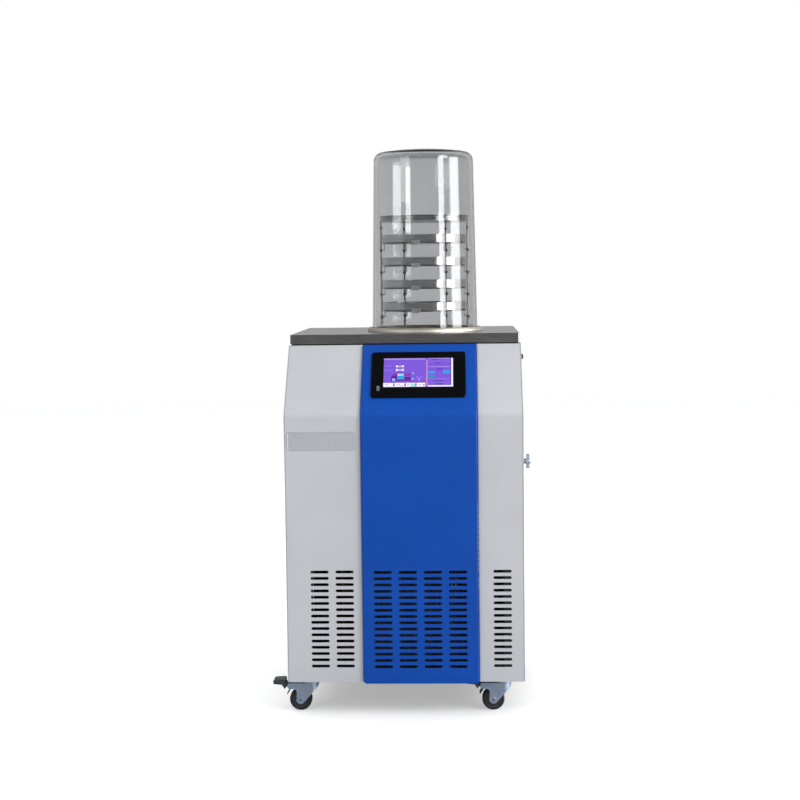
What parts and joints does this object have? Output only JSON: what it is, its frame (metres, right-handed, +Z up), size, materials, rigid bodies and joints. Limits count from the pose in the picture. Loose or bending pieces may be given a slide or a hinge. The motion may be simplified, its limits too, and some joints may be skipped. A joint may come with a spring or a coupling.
{
  "type": "freeze dryer",
  "caption": "Floor-standing laboratory freeze dryer on casters, with a louvred cabinet, a sloped touch-screen console and a clear bell jar over a rack of trays.",
  "frame": {"origin": "on the floor, under the middle of the cabinet's width and depth", "axes": "+Z up, -Y towards the operator (the console and blue panel face -Y), +X to the operator's right"},
  "size_m": [0.5833, 0.646, 1.268],
  "materials": {
    "grey_paint": "semi-gloss powder coat",
    "blue_paint": "semi-gloss powder coat",
    "stainless": "brushed stainless steel",
    "polished_stainless": "turned and polished stainless steel",
    "galvanised": "galvanised sheet",
    "zinc_plate": "bright zinc plate",
    "plaque_metal": "satin anodised",
    "black_gloss": "gloss",
    "screen": "lit display under glass",
    "dark_plastic": "moulded",
    "grey_plastic": "moulded",
    "seal_rubber": "matte",
    "tyre_rubber": "matte",
    "clear_acrylic": "polished clear",
    "foam": "cut foam",
    "black_paint": "semi-gloss",
    "copper": "drawn tube",
    "fin_aluminium": "mill finish"
  },
  "bodies": {
    "cabinet": {"base_pan": "galvanised", "frame_posts": "black_paint", "left_panel": "grey_paint", "right_panel": "grey_paint", "rear_panel": "grey_paint", "front_left": "grey_paint", "front_right": "grey_paint", "centre_panel": "blue_paint", "top_seal": "seal_rubber", "top_plate": "stainless", "name_plate": "plaque_metal", "display_bezel": "black_gloss", "display_screen": "screen", "display_housing": "dark_plastic", "usb_socket": "zinc_plate", "bell_jar": "clear_acrylic", "jar_seal": "seal_rubber", "base_ring": "polished_stainless", "cold_trap": "polished_stainless", "trap_foam": "foam", "rack_foot": "polished_stainless", "rack_rods": "polished_stainless", "rack_lid": "polished_stainless", "tray_1": "polished_stainless", "tray_2": "polished_stainless", "tray_3": "polished_stainless", "tray_4": "polished_stainless", "compressor": "black_paint", "compressor_mounts": "seal_rubber", "condenser": "fin_aluminium", "fan_shroud": "galvanised", "fan_motor": "black_paint", "filter_drier": "copper", "refrigerant_pipes": "copper", "vacuum_port": "polished_stainless", "vacuum_pipe": "polished_stainless", "drain_spigot": "polished_stainless", "valve_body": "polished_stainless", "switch_frame": "dark_plastic", "power_inlet": "dark_plastic", "panel_screws": "zinc_plate", "caster_mounts": "zinc_plate", "caster_bolts": "zinc_plate"},
    "fan": {"fan_blade": "grey_plastic"},
    "vent_handle": {"valve_handle": "zinc_plate"},
    "power_rocker": {"switch_rocker": "grey_plastic"},
    "fork_front_left": {"fork_front_left": "zinc_plate"},
    "wheel_front_left": {"hub_front_left": "grey_plastic", "tyre_front_left": "tyre_rubber"},
    "fork_front_right": {"fork_front_right": "zinc_plate"},
    "wheel_front_right": {"hub_front_right": "grey_plastic", "tyre_front_right": "tyre_rubber"},
    "fork_rear_left": {"fork_rear_left": "zinc_plate"},
    "wheel_rear_left": {"hub_rear_left": "grey_plastic", "tyre_rear_left": "tyre_rubber"},
    "fork_rear_right": {"fork_rear_right": "zinc_plate"},
    "wheel_rear_right": {"hub_rear_right": "grey_plastic", "tyre_rear_right": "tyre_rubber"},
    "brake_left": {"pedal_left": "grey_plastic"},
    "brake_right": {"pedal_right": "grey_plastic"}
  },
  "joints": [
    {"name": "swivel_front_left", "type": "hinge", "parent": "cabinet", "child": "fork_front_left", "pos_m": [-0.2165, -0.236, 0.0625], "axis": [0, 0, 1], "continuous": true},
    {"name": "swivel_front_right", "type": "hinge", "parent": "cabinet", "child": "fork_front_right", "pos_m": [0.2165, -0.236, 0.0625], "axis": [0, 0, 1], "continuous": true},
    {"name": "swivel_rear_left", "type": "hinge", "parent": "cabinet", "child": "fork_rear_left", "pos_m": [-0.2165, 0.236, 0.0625], "axis": [0, 0, 1], "continuous": true},
    {"name": "swivel_rear_right", "type": "hinge", "parent": "cabinet", "child": "fork_rear_right", "pos_m": [0.2165, 0.236, 0.0625], "axis": [0, 0, 1], "continuous": true},
    {"name": "roll_front_left", "type": "hinge", "parent": "fork_front_left", "child": "wheel_front_left", "pos_m": [-0.24, -0.236, 0.025], "axis": [0, 1, 0], "continuous": true},
    {"name": "roll_front_right", "type": "hinge", "parent": "fork_front_right", "child": "wheel_front_right", "pos_m": [0.193, -0.236, 0.025], "axis": [0, 1, 0], "continuous": true},
    {"name": "roll_rear_left", "type": "hinge", "parent": "fork_rear_left", "child": "wheel_rear_left", "pos_m": [-0.24, 0.236, 0.025], "axis": [0, 1, 0], "continuous": true},
    {"name": "roll_rear_right", "type": "hinge", "parent": "fork_rear_right", "child": "wheel_rear_right", "pos_m": [0.193, 0.236, 0.025], "axis": [0, 1, 0], "continuous": true},
    {"name": "brake_left", "type": "hinge", "parent": "fork_front_left", "child": "brake_left", "pos_m": [-0.265, -0.236, 0.0585], "axis": [0, -1, 0], "range_deg": [0, 15]},
    {"name": "brake_right", "type": "hinge", "parent": "fork_front_right", "child": "brake_right", "pos_m": [0.168, -0.236, 0.0585], "axis": [0, -1, 0], "range_deg": [0, 15]},
    {"name": "fan_spin", "type": "hinge", "parent": "cabinet", "child": "fan", "pos_m": [0.034, -0.231, 0.225], "axis": [0, 1, 0], "continuous": true},
    {"name": "vent_turn", "type": "hinge", "parent": "cabinet", "child": "vent_handle", "pos_m": [0.272, -0.155, 0.55], "axis": [1, 0, 0], "range_deg": [0, 90]},
    {"name": "power_switch", "type": "hinge", "parent": "cabinet", "child": "power_rocker", "pos_m": [0.2595, -0.135, 0.787], "axis": [0, 0, 1], "range_deg": [-16, 0]}
  ]
}
